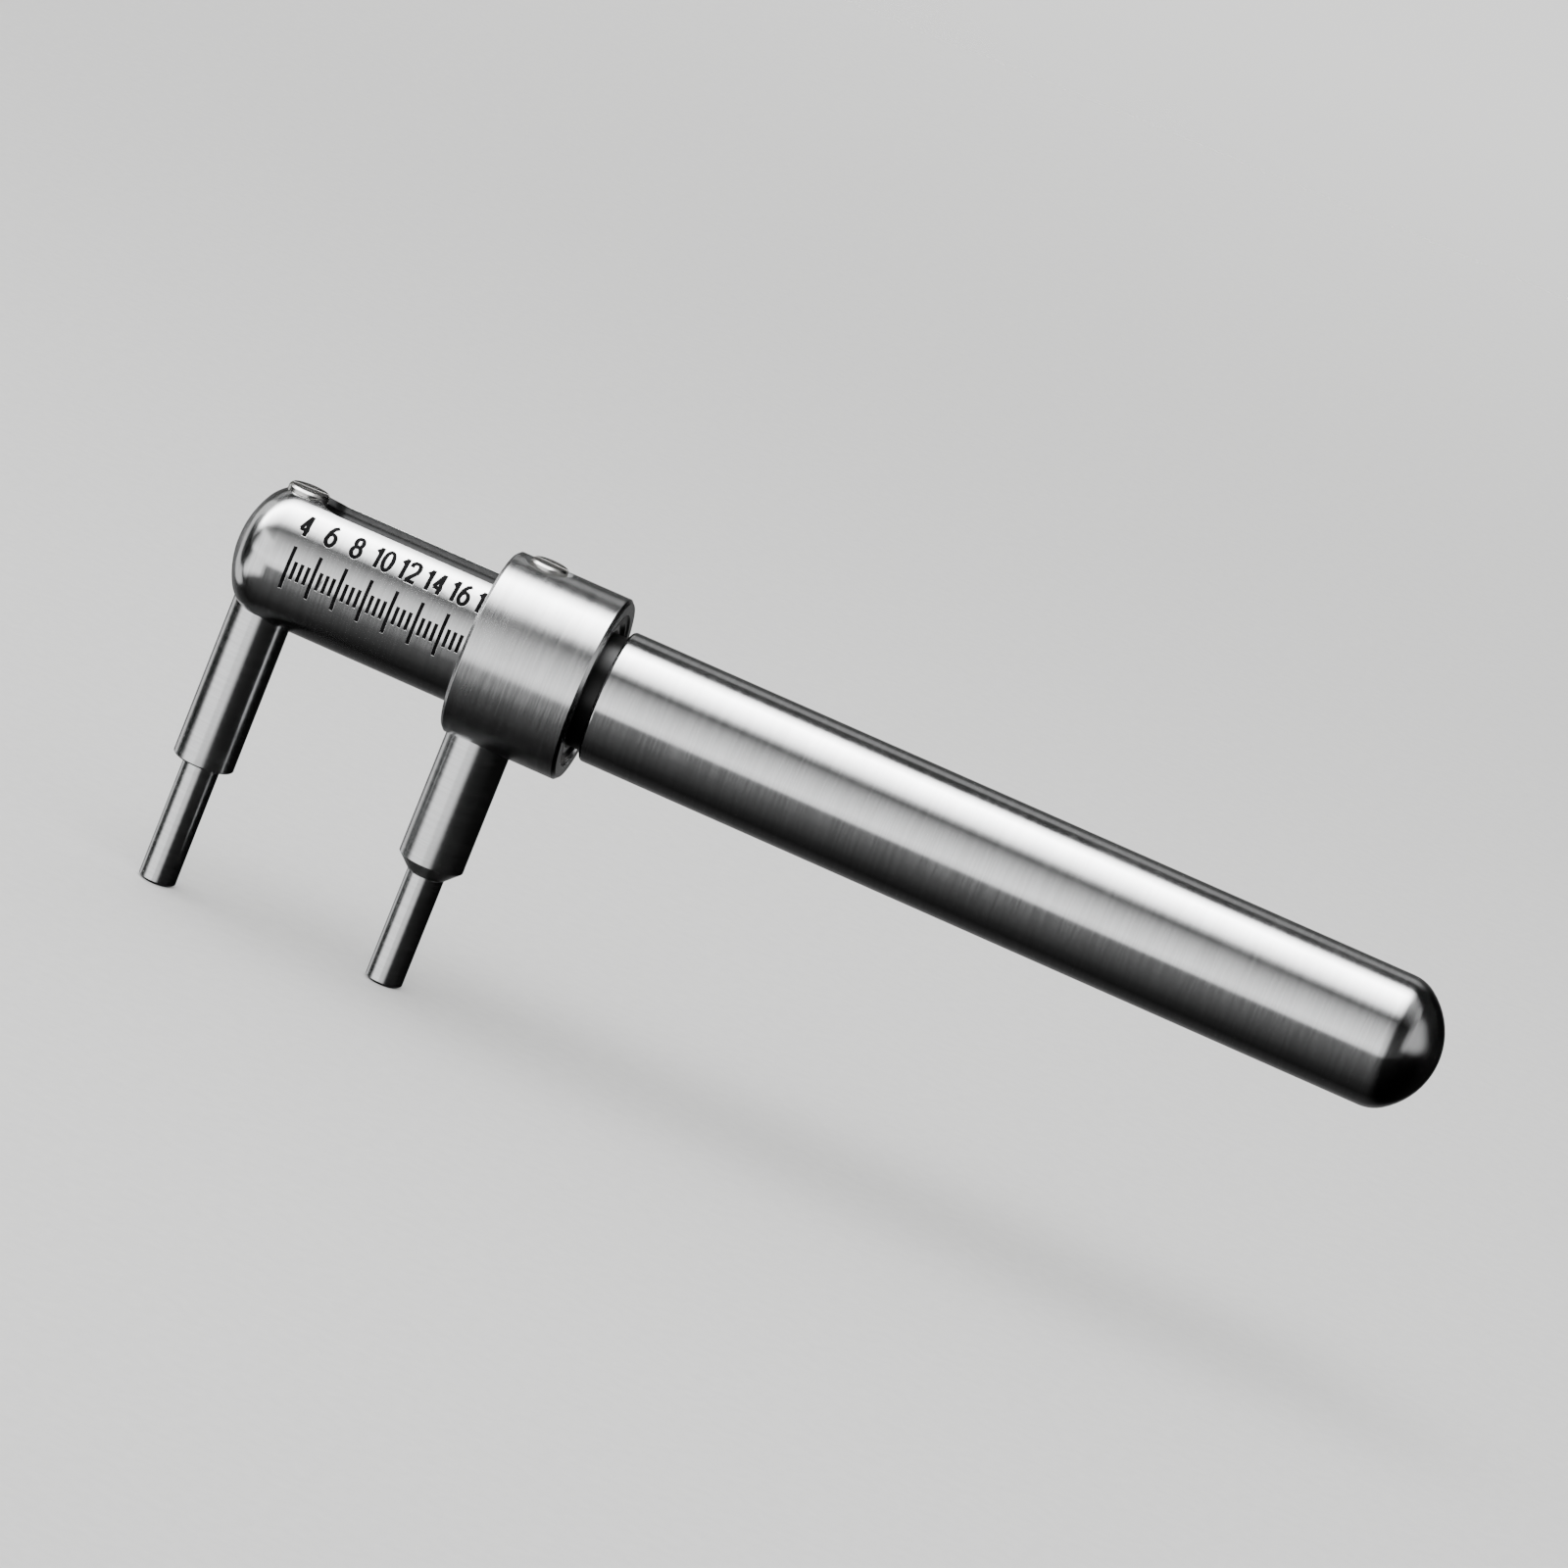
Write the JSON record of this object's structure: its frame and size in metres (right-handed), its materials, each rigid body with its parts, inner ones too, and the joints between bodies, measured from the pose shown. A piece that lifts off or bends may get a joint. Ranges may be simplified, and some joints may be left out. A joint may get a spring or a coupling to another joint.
{
  "type": "adjustable two-pin spacing ruler",
  "caption": "Round steel bar with an engraved millimetre scale, a fixed stepped pin and a second pin on a sliding, lockable collar.",
  "frame": {"origin": "centre of the fixed pin's shoulder, where its measuring tip begins", "axes": "+X along the bar from the head to the tail, -Z the way both pins point, -Y the side that carries the scale"},
  "size_m": [0.0934, 0.014, 0.0332],
  "materials": {
    "bar_steel": "turned and fine brushed",
    "collar_steel": "turned and fine brushed",
    "pin_steel": "ground and polished",
    "screw_steel": "satin",
    "bush_steel": "reamed",
    "shoe_brass": "satin",
    "black_enamel": "satin enamel"
  },
  "bodies": {
    "bar": {"scale_bar": "bar_steel", "handle": "bar_steel", "graduation_fill": "black_enamel", "numeral_fill": "black_enamel", "fixed_pin_holder": "pin_steel", "fixed_pin_tip": "pin_steel", "head_screw": "screw_steel"},
    "collar": {"collar": "collar_steel", "collar_bush": "bush_steel", "guide_key": "bush_steel", "sliding_pin_holder": "pin_steel", "sliding_pin_tip": "pin_steel"},
    "lock_shoe": {"lock_shoe": "shoe_brass"},
    "lock_screw": {"lock_screw": "screw_steel"}
  },
  "joints": [
    {"name": "collar_slide", "type": "slide", "parent": "bar", "child": "collar", "axis": [1, 0, 0], "range_m": [-0.01315, 0.0019]},
    {"name": "shoe_press", "type": "slide", "parent": "collar", "child": "lock_shoe", "axis": [0, 0, 1], "range_m": [-0.000125, 0.00025]},
    {"name": "lock_screw_turn", "type": "hinge", "parent": "lock_shoe", "child": "lock_screw", "pos_m": [0.0181, 0, 0.0227], "axis": [0, 0, 1], "range_deg": [-90, 180]}
  ],
  "couplings": [
    {"joint": "lock_screw_turn", "follows": "shoe_press", "rad_per_m": 12566}
  ]
}
